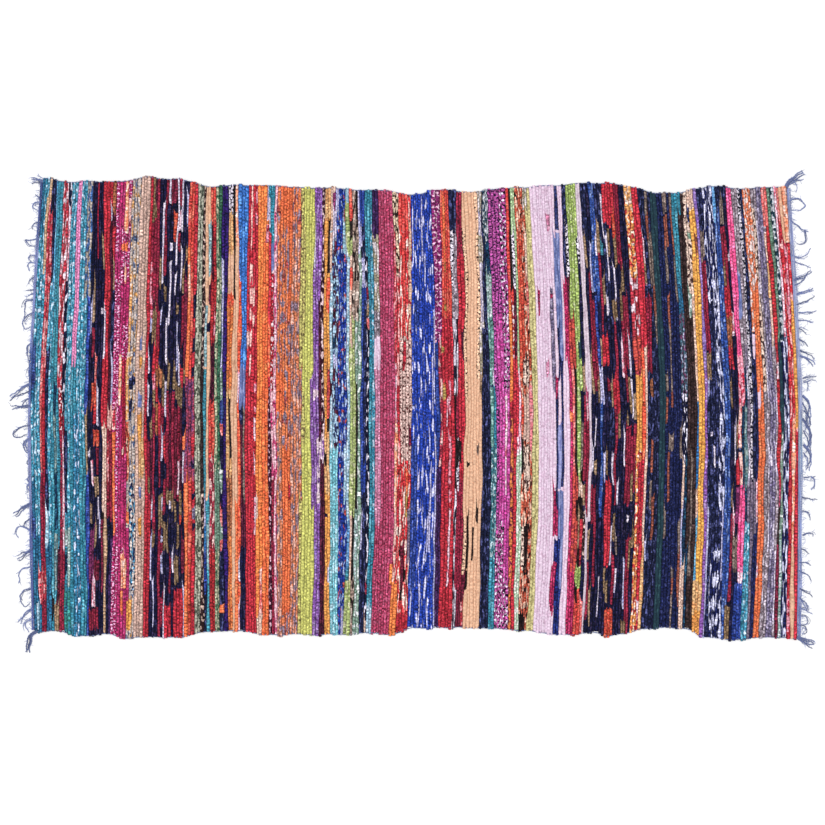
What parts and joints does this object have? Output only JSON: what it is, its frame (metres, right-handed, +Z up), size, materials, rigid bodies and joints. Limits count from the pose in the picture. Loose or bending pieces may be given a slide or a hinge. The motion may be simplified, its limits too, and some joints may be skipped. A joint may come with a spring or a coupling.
{
  "type": "rag rug",
  "caption": "Flat rectangular rag rug of multicoloured cotton strips woven close over a cotton warp, with wavy selvedges and a loose blue-grey fringe at each short end.",
  "frame": {"origin": "on the floor, under the middle of the whole rug with its fringe", "axes": "+X along the rug's length, +Y across its width, +Z up from the floor"},
  "size_m": [1.591, 0.947, 0.0063],
  "materials": {
    "rag_cloth": "matte worn cotton strips, woven in many coloured bands",
    "warp_yarn": "matte blue-grey cotton yarn, loosely plied"
  },
  "bodies": {
    "root": {"rug_cloth": "rag_cloth", "fringe_left": "warp_yarn", "fringe_right": "warp_yarn"}
  },
  "joints": []
}
